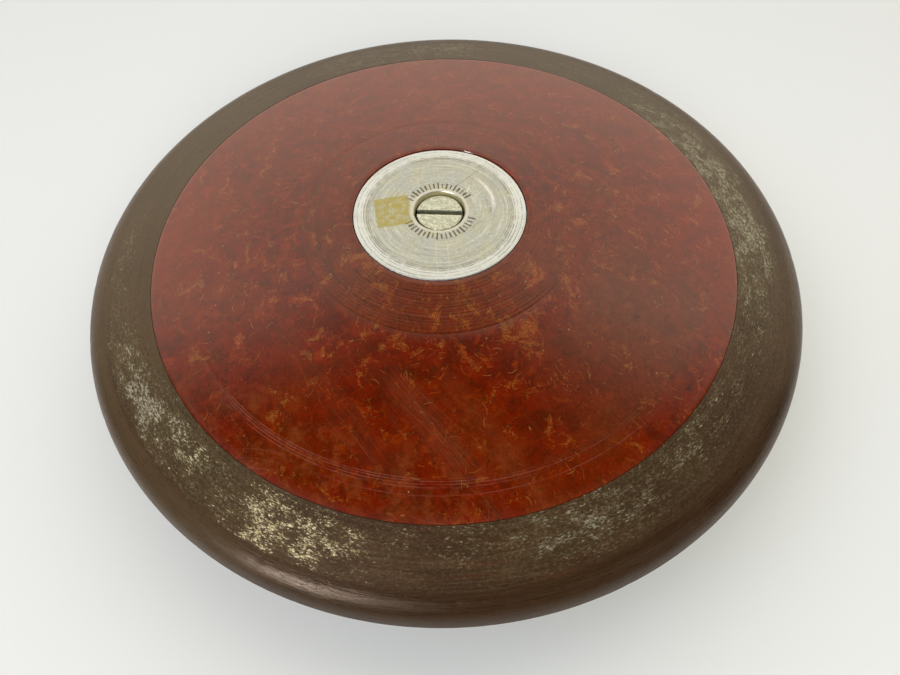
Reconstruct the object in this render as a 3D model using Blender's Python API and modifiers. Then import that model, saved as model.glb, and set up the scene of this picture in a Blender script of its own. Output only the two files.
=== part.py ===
"""Throwing discus of the men's two kilogram class, as separate turned and moulded pieces.

Frame: +Z is the disc's axis, z = 0 is the flat face of the lower centre plate, and the
origin is the middle of that face. Both faces of a discus are alike, so every piece of a
face is modelled once, with its heights counted outwards from the mid-plane, and placed a
second time on the lower half, which is the upper half turned over about the X axis.
"""

import math

import bmesh
import bpy

# Driving dimensions, in metres
DIAMETER = 0.2205
THICKNESS = 0.045
FLAT_RADIUS = 0.027
EDGE_RADIUS = 0.0064
RIM_INNER_RADIUS = 0.0892
PLATE_RADIUS = 0.0255
GAP = 0.0003

# Rim tongue, between the two sides, and the dowels through it
TONGUE_RADIUS = 0.0842
TONGUE_THICKNESS = 0.005
DOWEL_COUNT = 6
DOWEL_RADIUS = 0.0015
DOWEL_LENGTH = 0.0094
DOWEL_CIRCLE_RADIUS = 0.0867

# Moulded sides
SIDE_WALL = 0.0038
HOLLOW_INNER_RADIUS = 0.030
HOLLOW_OUTER_RADIUS = 0.080
BORE_RADIUS = 0.020

# Centre plates
PLATE_THICKNESS = 0.004
PLATE_EDGE_CHAMFER = 0.0003
SPIGOT_DEPTH = 0.008
COUNTERBORE_RADIUS = 0.00765
PLATE_HOLE_RADIUS = 0.0045

# Centre screws, with a metric M8 coarse thread
HEAD_RADIUS = 0.00685
HEAD_THICKNESS = 0.0024
HEAD_RECESS = 0.0009
HEAD_CHAMFER = 0.0004
SLOT_WIDTH = 0.0018
SLOT_DEPTH = 0.0013
SHANK_RADIUS = 0.0039
SHANK_END_HEIGHT = 0.002
SHANK_POINT = 0.0006
SLOT_ANGLES = {"upper": math.radians(-5.0), "lower": math.radians(28.0)}
WASHER_THICKNESS = 0.0008
WASHER_HOLE_RADIUS = 0.0043

# Pieces stacked in the bore
SLEEVE_RADIUS = 0.0072
SLEEVE_BORE_RADIUS = 0.0042
STACK_HOLE_RADIUS = 0.0076
PACKING_THICKNESS = 0.002
TRIM_THICKNESS = 0.0009
TRIM_PER_HALF = 2

# Facets round each kind of piece
LARGE_STEPS = 72
MEDIUM_STEPS = 48
SMALL_STEPS = 24
EDGE_ARC_STEPS = 10
MERGE_DISTANCE = 0.00001

# Derived dimensions
HALF_THICKNESS = THICKNESS / 2
RADIUS = DIAMETER / 2
EDGE_CENTRE_RADIUS = RADIUS - EDGE_RADIUS
STACK_RADIUS = BORE_RADIUS - GAP
PLATE_UNDERSIDE = HALF_THICKNESS - PLATE_THICKNESS
SPIGOT_END = HALF_THICKNESS - SPIGOT_DEPTH
HEAD_TOP = HALF_THICKNESS - HEAD_RECESS
HEAD_UNDERSIDE = HEAD_TOP - HEAD_THICKNESS
WASHER_TOP = HEAD_UNDERSIDE - GAP
COUNTERBORE_FLOOR = WASHER_TOP - WASHER_THICKNESS - GAP
SLEEVE_END = SPIGOT_END - GAP


def taper_angle():
    """Slope of the line from the centre flat's edge that meets the round edge on a tangent."""
    run = EDGE_CENTRE_RADIUS - FLAT_RADIUS
    reach = math.hypot(run, HALF_THICKNESS)
    return math.atan2(HALF_THICKNESS, run) - math.asin(EDGE_RADIUS / reach)


TAPER = taper_angle()


def face_height(radius):
    """Height of the tapered face above the mid-plane, between the flat and the round edge."""
    return HALF_THICKNESS - math.tan(TAPER) * (radius - FLAT_RADIUS)


def clear_scene():
    for item in list(bpy.data.objects):
        bpy.data.objects.remove(item)


def new_collection(name):
    collection = bpy.data.collections.new(name)
    bpy.context.scene.collection.children.link(collection)
    return collection


def new_material(name, colour, roughness, metallic):
    material = bpy.data.materials.new(name)
    material.use_nodes = True
    shader = material.node_tree.nodes["Principled BSDF"]
    shader.inputs["Base Color"].default_value = (*colour, 1.0)
    shader.inputs["Roughness"].default_value = roughness
    shader.inputs["Metallic"].default_value = metallic
    material.diffuse_color = (*colour, 1.0)
    return material


def new_empty(name, collection, parent=None):
    empty = bpy.data.objects.new(name, None)
    empty.empty_display_size = 0.01
    empty.parent = parent
    collection.objects.link(empty)
    return empty


def turned(name, profile, closed, steps, material, collection, parent):
    """Revolve a profile of (radius, height) points that runs down its outer side.

    A closed profile makes a ring, and an open one starts and ends on the axis.
    """
    shape = bmesh.new()
    points = [shape.verts.new((radius, 0.0, height)) for radius, height in profile]
    for first, second in zip(points, points[1:]):
        shape.edges.new((first, second))
    if closed:
        shape.edges.new((points[-1], points[0]))
    mesh = bpy.data.meshes.new(name)
    shape.to_mesh(mesh)
    shape.free()
    mesh.materials.append(material)

    piece = bpy.data.objects.new(name, mesh)
    collection.objects.link(piece)
    piece.parent = parent
    screw = piece.modifiers.new("revolve", "SCREW")
    screw.axis = "Z"
    screw.angle = math.tau
    screw.steps = steps
    screw.render_steps = steps
    screw.use_merge_vertices = True
    screw.merge_threshold = MERGE_DISTANCE
    screw.use_smooth_shade = True
    return piece


def cutter_cylinder(name, radius, low, high, place, collection, parent):
    shape = bmesh.new()
    bmesh.ops.create_cone(
        shape,
        cap_ends=True,
        segments=SMALL_STEPS,
        radius1=radius,
        radius2=radius,
        depth=high - low,
    )
    return finish_cutter(name, shape, (*place, (low + high) / 2), 0.0, collection, parent)


def cutter_box(name, size, centre_height, angle, collection, parent):
    shape = bmesh.new()
    bmesh.ops.create_cube(shape, size=1.0)
    bmesh.ops.scale(shape, vec=size, verts=shape.verts)
    return finish_cutter(name, shape, (0.0, 0.0, centre_height), angle, collection, parent)


def finish_cutter(name, shape, location, angle, collection, parent):
    mesh = bpy.data.meshes.new(name)
    shape.to_mesh(mesh)
    shape.free()
    cutter = bpy.data.objects.new(name, mesh)
    collection.objects.link(cutter)
    cutter.parent = parent
    cutter.location = location
    cutter.rotation_euler = (0.0, 0.0, angle)
    cutter.hide_render = True
    cutter.display_type = "WIRE"
    return cutter


def cut(piece, cutter):
    boolean = piece.modifiers.new(cutter.name, "BOOLEAN")
    boolean.operation = "DIFFERENCE"
    boolean.solver = "EXACT"
    boolean.object = cutter


def dowel_places():
    """Centres of the dowels on their circle, the first half a step away from +X."""
    step = math.tau / DOWEL_COUNT
    for index in range(DOWEL_COUNT):
        angle = (index + 0.5) * step
        yield DOWEL_CIRCLE_RADIUS * math.cos(angle), DOWEL_CIRCLE_RADIUS * math.sin(angle)


def rim(material, parts, cutters, centre):
    """Steel ring with the round edge, the tapered lands and the inward tongue."""
    half_tongue = TONGUE_THICKNESS / 2
    joint_height = face_height(RIM_INNER_RADIUS)
    sweep = math.pi - 2 * TAPER
    profile = [(RIM_INNER_RADIUS, joint_height)]
    for step in range(EDGE_ARC_STEPS + 1):
        angle = sweep * (0.5 - step / EDGE_ARC_STEPS)
        reach = EDGE_CENTRE_RADIUS + EDGE_RADIUS * math.cos(angle)
        profile.append((reach, EDGE_RADIUS * math.sin(angle)))
    profile += [
        (RIM_INNER_RADIUS, -joint_height),
        (RIM_INNER_RADIUS, -half_tongue),
        (TONGUE_RADIUS, -half_tongue),
        (TONGUE_RADIUS, half_tongue),
        (RIM_INNER_RADIUS, half_tongue),
    ]
    ring = turned("rim", profile, True, LARGE_STEPS, material, parts, centre)
    for index, place in enumerate(dowel_places(), 1):
        name = f"rim_dowel_hole_{index}"
        hole = cutter_cylinder(
            name, DOWEL_RADIUS + GAP, -TONGUE_THICKNESS, TONGUE_THICKNESS, place, cutters, centre
        )
        cut(ring, hole)


def dowels(material, parts, centre):
    half_length = DOWEL_LENGTH / 2
    profile = [
        (0.0, half_length),
        (DOWEL_RADIUS, half_length),
        (DOWEL_RADIUS, -half_length),
        (0.0, -half_length),
    ]
    for index, place in enumerate(dowel_places(), 1):
        name = f"rim_dowel_{index}"
        dowel = turned(name, profile, False, SMALL_STEPS, material, parts, centre)
        dowel.location = (*place, 0.0)


def side(half, material, parts, cutters, parent):
    """Hollow-backed moulded side: recess for the plate, centre boss and seat for the tongue."""
    outer = RIM_INNER_RADIUS - GAP
    seat = TONGUE_THICKNESS / 2 + GAP
    seat_radius = TONGUE_RADIUS - GAP
    recess_radius = PLATE_RADIUS + GAP
    recess_floor = PLATE_UNDERSIDE - GAP
    meeting = GAP / 2
    wall_height = SIDE_WALL / math.cos(TAPER)
    profile = [
        (recess_radius, HALF_THICKNESS),
        (FLAT_RADIUS, HALF_THICKNESS),
        (outer, face_height(outer)),
        (outer, seat),
        (seat_radius, seat),
        (seat_radius, meeting),
        (HOLLOW_OUTER_RADIUS, meeting),
        (HOLLOW_OUTER_RADIUS, face_height(HOLLOW_OUTER_RADIUS) - wall_height),
        (HOLLOW_INNER_RADIUS, face_height(HOLLOW_INNER_RADIUS) - wall_height),
        (HOLLOW_INNER_RADIUS, meeting),
        (BORE_RADIUS, meeting),
        (BORE_RADIUS, recess_floor),
        (recess_radius, recess_floor),
    ]
    shell = turned(f"{half}_side", profile, True, LARGE_STEPS, material, parts, parent)
    for index, place in enumerate(dowel_places(), 1):
        name = f"{half}_side_dowel_hole_{index}"
        depth = DOWEL_LENGTH / 2 + GAP
        hole = cutter_cylinder(name, DOWEL_RADIUS + GAP, 0.0, depth, place, cutters, parent)
        cut(shell, hole)


def centre_plate(half, material, parts, parent):
    """Flanged plate with a spigot in the side's bore and a counterbore for the screw head."""
    profile = [
        (COUNTERBORE_RADIUS, HALF_THICKNESS),
        (PLATE_RADIUS - PLATE_EDGE_CHAMFER, HALF_THICKNESS),
        (PLATE_RADIUS, HALF_THICKNESS - PLATE_EDGE_CHAMFER),
        (PLATE_RADIUS, PLATE_UNDERSIDE),
        (STACK_RADIUS, PLATE_UNDERSIDE),
        (STACK_RADIUS, SPIGOT_END),
        (PLATE_HOLE_RADIUS, SPIGOT_END),
        (PLATE_HOLE_RADIUS, COUNTERBORE_FLOOR),
        (COUNTERBORE_RADIUS, COUNTERBORE_FLOOR),
    ]
    turned(f"{half}_centre_plate", profile, True, MEDIUM_STEPS, material, parts, parent)


def centre_screw(half, material, parts, cutters, parent):
    """Slotted cheese-head screw on the disc's axis."""
    profile = [
        (0.0, HEAD_TOP),
        (HEAD_RADIUS - HEAD_CHAMFER, HEAD_TOP),
        (HEAD_RADIUS, HEAD_TOP - HEAD_CHAMFER),
        (HEAD_RADIUS, HEAD_UNDERSIDE),
        (SHANK_RADIUS, HEAD_UNDERSIDE),
        (SHANK_RADIUS, SHANK_END_HEIGHT + SHANK_POINT),
        (SHANK_RADIUS - SHANK_POINT, SHANK_END_HEIGHT),
        (0.0, SHANK_END_HEIGHT),
    ]
    screw = turned(
        f"{half}_centre_screw", profile, False, SMALL_STEPS, material, parts, parent
    )
    slot = cutter_box(
        f"{half}_screw_slot",
        (4 * HEAD_RADIUS, SLOT_WIDTH, 2 * SLOT_DEPTH),
        HEAD_TOP,
        SLOT_ANGLES[half],
        cutters,
        parent,
    )
    cut(screw, slot)


def flat_ring(name, inner, outer, low, high, steps, material, parts, parent):
    profile = [(inner, high), (outer, high), (outer, low), (inner, low)]
    return turned(name, profile, True, steps, material, parts, parent)


def screw_washer(half, material, parts, parent):
    low = WASHER_TOP - WASHER_THICKNESS
    name = f"{half}_screw_washer"
    flat_ring(
        name, WASHER_HOLE_RADIUS, HEAD_RADIUS, low, WASHER_TOP, SMALL_STEPS, material, parts, parent
    )


def bore_stack(materials, parts, centre, halves):
    """Sleeve nut through the bore, and the rings that fill the bore round it."""
    flat_ring(
        "centre_sleeve",
        SLEEVE_BORE_RADIUS,
        SLEEVE_RADIUS,
        -SLEEVE_END,
        SLEEVE_END,
        SMALL_STEPS,
        materials["sleeve"],
        parts,
        centre,
    )
    packing_top = SPIGOT_END - GAP
    packing_low = packing_top - PACKING_THICKNESS
    pitch = TRIM_THICKNESS + GAP
    number = 1
    for half, parent in halves.items():
        flat_ring(
            f"{half}_packing_ring",
            STACK_HOLE_RADIUS,
            STACK_RADIUS,
            packing_low,
            packing_top,
            MEDIUM_STEPS,
            materials["packing"],
            parts,
            parent,
        )
        for place in range(TRIM_PER_HALF):
            top = packing_low - GAP - place * pitch
            flat_ring(
                f"trim_weight_{number}",
                STACK_HOLE_RADIUS,
                STACK_RADIUS,
                top - TRIM_THICKNESS,
                top,
                MEDIUM_STEPS,
                materials["trim"],
                parts,
                parent,
            )
            number += 1
    spacer_end = packing_low - GAP - TRIM_PER_HALF * pitch
    flat_ring(
        "core_spacer",
        STACK_HOLE_RADIUS,
        STACK_RADIUS,
        -spacer_end,
        spacer_end,
        MEDIUM_STEPS,
        materials["spacer"],
        parts,
        centre,
    )


def build():
    clear_scene()
    parts = new_collection("discus")
    cutters = new_collection("cutters")
    materials = {
        "rim": new_material("rim_steel", (0.16, 0.13, 0.11), 0.38, 1.0),
        "side": new_material("red_composition", (0.22, 0.02, 0.008), 0.22, 0.0),
        "plate": new_material("plate_aluminium", (0.52, 0.48, 0.40), 0.40, 1.0),
        "screw": new_material("screw_zinc", (0.50, 0.52, 0.44), 0.55, 1.0),
        "washer": new_material("washer_steel", (0.42, 0.40, 0.36), 0.45, 1.0),
        "sleeve": new_material("sleeve_steel", (0.40, 0.39, 0.37), 0.35, 1.0),
        "trim": new_material("trim_steel", (0.36, 0.36, 0.37), 0.45, 1.0),
        "packing": new_material("packing_felt", (0.20, 0.19, 0.17), 0.95, 0.0),
        "spacer": new_material("spacer_wood", (0.46, 0.30, 0.16), 0.70, 0.0),
        "dowel": new_material("dowel_steel", (0.45, 0.44, 0.42), 0.35, 1.0),
    }

    centre = new_empty("disc_centre", parts)
    centre.location = (0.0, 0.0, HALF_THICKNESS)
    halves = {
        "upper": new_empty("upper_half", parts, centre),
        "lower": new_empty("lower_half", parts, centre),
    }
    halves["lower"].rotation_euler = (math.pi, 0.0, 0.0)

    rim(materials["rim"], parts, cutters, centre)
    dowels(materials["dowel"], parts, centre)
    bore_stack(materials, parts, centre, halves)
    for half, parent in halves.items():
        side(half, materials["side"], parts, cutters, parent)
        centre_plate(half, materials["plate"], parts, parent)
        screw_washer(half, materials["washer"], parts, parent)
        centre_screw(half, materials["screw"], parts, cutters, parent)


build()
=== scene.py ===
"""Looks of a throwing discus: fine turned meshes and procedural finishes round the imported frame."""

import math
from functools import partial, reduce

import bmesh
import bpy
import numpy as np
from mathutils import Matrix, Vector


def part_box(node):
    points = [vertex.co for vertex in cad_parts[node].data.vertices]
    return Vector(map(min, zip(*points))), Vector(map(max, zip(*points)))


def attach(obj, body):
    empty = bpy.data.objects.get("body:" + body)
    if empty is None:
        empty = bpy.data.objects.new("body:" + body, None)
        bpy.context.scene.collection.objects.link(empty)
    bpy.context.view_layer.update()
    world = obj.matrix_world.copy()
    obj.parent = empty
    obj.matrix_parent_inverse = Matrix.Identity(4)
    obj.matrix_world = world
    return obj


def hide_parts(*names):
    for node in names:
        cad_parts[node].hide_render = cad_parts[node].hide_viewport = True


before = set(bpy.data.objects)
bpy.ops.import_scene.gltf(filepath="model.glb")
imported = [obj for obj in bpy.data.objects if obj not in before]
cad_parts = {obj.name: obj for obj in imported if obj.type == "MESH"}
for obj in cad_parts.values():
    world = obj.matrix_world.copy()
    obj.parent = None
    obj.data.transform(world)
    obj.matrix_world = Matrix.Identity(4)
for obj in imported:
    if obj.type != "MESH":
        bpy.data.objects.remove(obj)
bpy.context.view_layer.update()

MM = 0.001


# ---- sizes, read from the frame ----

def radius_of(node):
    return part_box(node)[1].x


def heights_of(node):
    """Lowest and highest height of an upper or central node over the disc's mid-plane."""
    low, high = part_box(node)
    return low.z - MIDDLE, high.z - MIDDLE


DISC_RADIUS = radius_of("rim")
HALF_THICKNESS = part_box("upper_centre_plate")[1].z / 2
MIDDLE = HALF_THICKNESS
SIDE_RADIUS = radius_of("upper_side")
PLATE_RADIUS = radius_of("upper_centre_plate")
HEAD_RADIUS = radius_of("upper_centre_screw")
STACK_RADIUS = radius_of("core_spacer")
GAP = 0.3 * MM
SEAM_RADIUS = SIDE_RADIUS + 0.1 * MM
FLAT_RADIUS = 27 * MM
EDGE_RADIUS = 6.4 * MM
EDGE_CENTRE = DISC_RADIUS - EDGE_RADIUS
TONGUE_RADIUS = 84.2 * MM
TONGUE_HALF = 2.5 * MM
BORE_RADIUS = STACK_RADIUS + GAP
COUNTERBORE_RADIUS = 7.45 * MM
THREAD_PITCH = 1.25 * MM


def taper_angle():
    """Slope of the face, a tangent from the centre flat's edge to the round edge."""
    run = EDGE_CENTRE - FLAT_RADIUS
    return math.atan2(HALF_THICKNESS, run) - math.asin(EDGE_RADIUS / math.hypot(run, HALF_THICKNESS))


TAPER = taper_angle()


def face_height(radius):
    return HALF_THICKNESS - math.tan(TAPER) * (radius - FLAT_RADIUS)


# ---- turned meshes ----

# Steps round the axis and round a worn corner, and the angle from which an edge is drawn sharp.
RIM_STEPS = 1080
SIDE_STEPS = 600
PLATE_STEPS = 720
SCREW_STEPS = 240
RING_STEPS = 144
DOWEL_STEPS = 48
CORNER_STEPS = 3
SHARP_ANGLE = math.radians(40)
SLOT_SHARP_ANGLE = math.radians(35)


def dense(points, spacing):
    """The outline with points added so that none are further apart than spacing."""
    result = []
    for start, end in zip(points, points[1:]):
        count = max(1, math.ceil(math.dist(start, end) / spacing))
        for step in range(count):
            share = step / count
            result.append(tuple(a + (b - a) * share for a, b in zip(start, end)))
    return result + [points[-1]]


def eased(corners, radius):
    """The closed outline with each corner rounded, as a light chamfer wears round."""
    result = []
    for index, corner in enumerate(corners):
        here = Vector(corner)
        before = Vector(corners[index - 1]) - here
        after = Vector(corners[(index + 1) % len(corners)]) - here
        turn = before.angle(after)
        reach = min(radius / math.tan(turn / 2), 0.45 * before.length, 0.45 * after.length)
        first = here + before.normalized() * reach
        last = here + after.normalized() * reach
        for step in range(CORNER_STEPS + 1):
            share = step / CORNER_STEPS
            curve = first.lerp(here, share).lerp(here.lerp(last, share), share)
            result.append((curve.x, curve.y))
    return result


def outward(outline, closed):
    """Unit normals of an outline that runs down its outer side."""
    if closed:
        along = np.roll(outline, -1, axis=0) - np.roll(outline, 1, axis=0)
    else:
        along = np.gradient(outline, axis=0)
    normal = np.stack((-along[:, 1], along[:, 0]), axis=1)
    length = np.linalg.norm(normal, axis=1, keepdims=True)
    return normal / np.maximum(length, 1e-12)


def add_object(name, data):
    thing = bpy.data.objects.new(name, data)
    bpy.context.scene.collection.objects.link(thing)
    return thing


def turned(name, points, steps, closed=True, relief=None, lower=False):
    """Revolve (radius, height) points; relief(radius, height, angle) lifts the surface, in metres."""
    outline = np.array(points)
    angle = np.linspace(0, math.tau, steps, endpoint=False)[None, :]
    radius = outline[:, :1] + 0 * angle
    height = outline[:, 1:] + 0 * angle
    if relief is not None:
        lift = relief(radius, height, angle + 0 * radius)
        normal = outward(outline, closed)
        radius = radius + lift * normal[:, :1]
        height = height + lift * normal[:, 1:]
    side = -1 if lower else 1
    spots = np.stack(
        (radius * np.cos(angle), side * radius * np.sin(angle), MIDDLE + side * height), axis=-1
    )
    rows = len(points)
    index = np.arange(rows * steps).reshape(rows, steps)
    following = np.roll(index, -1, axis=0) if closed else index[1:]
    first = index if closed else index[:-1]
    quads = np.stack(
        (first, following, np.roll(following, -1, axis=1), np.roll(first, -1, axis=1)), axis=-1
    )
    mesh = bpy.data.meshes.new(name)
    mesh.from_pydata(spots.reshape(-1, 3).tolist(), [], quads.reshape(-1, 4).tolist())
    if not closed:
        weld(mesh)
    mesh.shade_smooth()
    mesh.set_sharp_from_angle(angle=SHARP_ANGLE)
    return add_object(name, mesh)


def shaped(name, build, **settings):
    """A mesh that one bmesh operation makes."""
    mesh = bpy.data.meshes.new(name)
    shape = bmesh.new()
    build(shape, **settings)
    shape.to_mesh(mesh)
    shape.free()
    return mesh


def weld(mesh):
    """Close a turned mesh where its outline meets the axis."""
    shape = bmesh.new()
    shape.from_mesh(mesh)
    bmesh.ops.remove_doubles(shape, verts=shape.verts, dist=1e-7)
    shape.to_mesh(mesh)
    shape.free()


def fit(piece, node, body, material):
    """Put a fine piece in a CAD node's place, on its body and with its finish."""
    piece.data.materials.clear()
    piece.data.materials.append(material)
    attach(piece, body)
    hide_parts(node)


# ---- relief of the turned surfaces ----

def window(value, low, high, soft):
    """1 between low and high, falling smoothly to 0 over soft on each side."""
    rise = np.clip((value - low + soft) / soft, 0, 1)
    fall = np.clip((high + soft - value) / soft, 0, 1)
    share = np.minimum(rise, fall)
    return share * share * (3 - 2 * share)


def ring_cut(radius, centre, half_width, depth):
    """A V-shaped groove round the axis."""
    share = np.clip(1 - np.abs(radius - centre) / half_width, 0, 1)
    return -depth * share


def around(angle, direction):
    """Signed angle from a direction, in radians."""
    return (angle - direction + math.pi) % math.tau - math.pi


def dents(seed, count, radii, sizes, depths):
    """Small knocks at random places, as (radius, angle, size, depth)."""
    chance = np.random.default_rng(seed)
    ranges = (radii, (0, math.tau), sizes, depths)
    return [tuple(chance.uniform(*limits) for limits in ranges) for _ in range(count)]


def dented(radius, angle, marks):
    """The depth that knocks leave in the surface."""
    lift = 0 * radius
    for centre, direction, size, depth in marks:
        across = radius - centre
        along = around(angle, direction) * centre
        lift = lift - depth * np.exp(-(across**2 + along**2) / size**2)
    return lift


# ---- the rim ----

ARC_STEPS = 34
LAND_SPACING = 0.8 * MM


def rim_outline():
    half_sweep = math.pi / 2 - TAPER
    arc = [
        (EDGE_CENTRE + EDGE_RADIUS * math.cos(turn), EDGE_RADIUS * math.sin(turn))
        for turn in np.linspace(half_sweep, -half_sweep, ARC_STEPS)
    ]
    land = dense([(SEAM_RADIUS, face_height(SEAM_RADIUS)), arc[0]], LAND_SPACING)
    under = dense([arc[-1], (SEAM_RADIUS, -face_height(SEAM_RADIUS))], LAND_SPACING)
    lip = 0.08 * MM
    land[0] = (SEAM_RADIUS + lip, land[0][1])
    under[-1] = (SEAM_RADIUS + lip, under[-1][1])
    inner = face_height(SEAM_RADIUS) - lip
    tongue = [
        (SEAM_RADIUS, -inner),
        (SEAM_RADIUS, -TONGUE_HALF),
        (TONGUE_RADIUS, -TONGUE_HALF),
        (TONGUE_RADIUS, TONGUE_HALF),
        (SEAM_RADIUS, TONGUE_HALF),
        (SEAM_RADIUS, inner),
    ]
    return land[:-1] + arc + under[1:] + tongue


# The deepest knock in the rim: radius, azimuth, size and depth.
RIM_KNOCK = (107.8 * MM, math.radians(279.2), 0.8 * MM, 0.16 * MM)


def make_rim(material):
    marks = dents(4, 46, (104 * MM, 110 * MM), (0.5 * MM, 1.5 * MM), (0.02 * MM, 0.09 * MM))
    marks.append(RIM_KNOCK)

    def relief(radius, height, angle):
        ripple = 0.006 * MM * np.sin(radius / (0.55 * MM)) * (radius < EDGE_CENTRE)
        outside = radius > SEAM_RADIUS + 0.5 * MM
        return outside * (ripple + dented(radius, angle, marks) * (height > -EDGE_RADIUS))

    ring = turned("rim_ring", rim_outline(), RIM_STEPS, relief=relief)
    fit(ring, "rim", "root", material)


# ---- the sides ----

# Lathe grooves by the plate, as radius and depth, and rings scored by the rim, in millimetres.
LATHE_RINGS = [
    (27.9, 0.02), (28.8, 0.015), (29.9, 0.03), (30.7, 0.015), (32.0, 0.03), (33.1, 0.02), (33.9, 0.03),
    (35.2, 0.02), (36.0, 0.035), (37.3, 0.02), (38.1, 0.03), (39.0, 0.02), (40.1, 0.03), (41.2, 0.05),
]
SCORED_RINGS = [78.2, 78.7, 79.1, 79.6, 80.4, 81.9]
SCORED_DIRECTIONS = {"upper": 254, "lower": 394}
# Radii that the outline of a side needs at its edges, in millimetres.
EDGE_STOPS = {27.3, 87.3, 87.9, 88.4}
RECESS_DEPTH = 4.3 * MM
WALL = 3.8 * MM
HOLLOW_INNER = 30 * MM
HOLLOW_OUTER = 80 * MM


def side_outline():
    rings = [radius for radius, _ in LATHE_RINGS] + SCORED_RINGS
    stops = set(EDGE_STOPS)
    for radius in rings:
        stops.update(radius + offset for offset in (-0.2, -0.1, 0, 0.1, 0.2))
    stops.update(radius for radius in range(44, 87) if min(abs(radius - ring) for ring in rings) > 0.5)
    edge = [(stop * MM, face_height(stop * MM)) for stop in sorted(stops)]
    drop = 0.07 * MM
    recess = PLATE_RADIUS + GAP
    recess_floor = heights_of("upper_side")[1] - RECESS_DEPTH
    wall = WALL / math.cos(TAPER)
    lip = 0.12 * MM
    return (
        [(recess, HALF_THICKNESS - lip), (recess + lip, HALF_THICKNESS), (FLAT_RADIUS, HALF_THICKNESS)]
        + edge
        + [
            (SIDE_RADIUS, face_height(SIDE_RADIUS) - drop),
            (SIDE_RADIUS, TONGUE_HALF + GAP),
            (TONGUE_RADIUS - GAP, TONGUE_HALF + GAP),
            (TONGUE_RADIUS - GAP, GAP / 2),
            (HOLLOW_OUTER, GAP / 2),
            (HOLLOW_OUTER, face_height(HOLLOW_OUTER) - wall),
            (HOLLOW_INNER, face_height(HOLLOW_INNER) - wall),
            (HOLLOW_INNER, GAP / 2),
            (BORE_RADIUS, GAP / 2),
            (BORE_RADIUS, recess_floor),
            (recess, recess_floor),
        ]
    )


def make_side(half, material):

    def relief(radius, height, angle):
        top = height > face_height(SIDE_RADIUS) - 1 * MM
        lift = 0 * radius
        for centre, depth in LATHE_RINGS:
            worn = 0.7 + 0.3 * np.sin(angle * 2 + centre)
            lift = lift + ring_cut(radius, centre * MM, 0.2 * MM, 0.5 * depth * MM) * worn
        reach = around(angle, math.radians(SCORED_DIRECTIONS[half]))
        for number, centre in enumerate(SCORED_RINGS):
            span = window(reach, -0.75 + 0.09 * number, 0.72 - 0.07 * number, 0.08)
            lift = lift + ring_cut(radius, centre * MM, 0.16 * MM, 0.02 * MM) * span
        worn_edge = np.clip((radius / MM - 88.2) / 0.7, 0, 1) ** 2
        return top * (lift - 0.015 * MM * worn_edge)

    lower = half == "lower"
    shell = turned(f"{half}_side_shell", side_outline(), SIDE_STEPS, relief=relief, lower=lower)
    fit(shell, f"{half}_side", "root", material)


# ---- the centre plates ----

# The words stamped on the real plate are replaced with plain ticks in two arcs, in degrees.
TICK_ARCS = ((31, 150), (205, 339))
TICK_PITCH = 7.4
TICK_INNER = 8.8 * MM
TICK_OUTER = 11.1 * MM
TICK_HALF_WIDTH = 0.19 * MM
TICK_DEPTH = 0.16 * MM
TICK_SOFT = 0.12 * MM
BAND_INNER = 21.4 * MM

# Grooves turned in the plate: radius and depth, in millimetres.
PLATE_RINGS = ((21.2, 0.03), (21.6, 0.05), (22.05, 0.04), (22.5, 0.05), (23.3, 0.02), (24.1, 0.02))


def plate_outline():
    low = heights_of("upper_centre_plate")[0]
    flange = HALF_THICKNESS - 4 * MM
    floor = low + 3.3 * MM
    lip = 0.25 * MM
    tick_end = TICK_OUTER + 0.4 * MM
    well_edge = [
        (COUNTERBORE_RADIUS, HALF_THICKNESS - 0.6 * MM),
        (COUNTERBORE_RADIUS + 0.15 * MM, HALF_THICKNESS - 0.25 * MM),
        (COUNTERBORE_RADIUS + 0.4 * MM, HALF_THICKNESS),
    ]
    ticked = dense([(8.3 * MM, HALF_THICKNESS), (tick_end, HALF_THICKNESS)], 0.14 * MM)
    ringed = dense([(11.6 * MM, HALF_THICKNESS), (PLATE_RADIUS - lip, HALF_THICKNESS)], 0.16 * MM)
    return (
        well_edge
        + ticked
        + ringed
        + [
            (PLATE_RADIUS, HALF_THICKNESS - lip),
            (PLATE_RADIUS, flange),
            (STACK_RADIUS, flange),
            (STACK_RADIUS, low),
            (4.5 * MM, low),
            (4.5 * MM, floor),
            (COUNTERBORE_RADIUS, floor),
        ]
    )


def tick_depth(radius, angle):
    """Stamped graduations: short radial strokes at an even pitch in two arcs."""
    degrees = np.degrees(angle) % 360
    lift = 0 * radius
    for start, end in TICK_ARCS:
        count = round((end - start) / TICK_PITCH)
        pitch = (end - start) / count
        place = (degrees - start) / pitch
        number = np.clip(np.round(place), 0, count)
        across = (place - number) * math.radians(pitch) * radius
        depth = 0.75 + 0.25 * np.sin(number * 2.4)
        short = 0.35 * MM * (number % 2)
        stroke = window(across, -TICK_HALF_WIDTH, TICK_HALF_WIDTH, TICK_SOFT)
        length = window(radius, TICK_INNER + short, TICK_OUTER - short, TICK_SOFT)
        lift = lift - TICK_DEPTH * depth * stroke * length
    return lift


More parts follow.
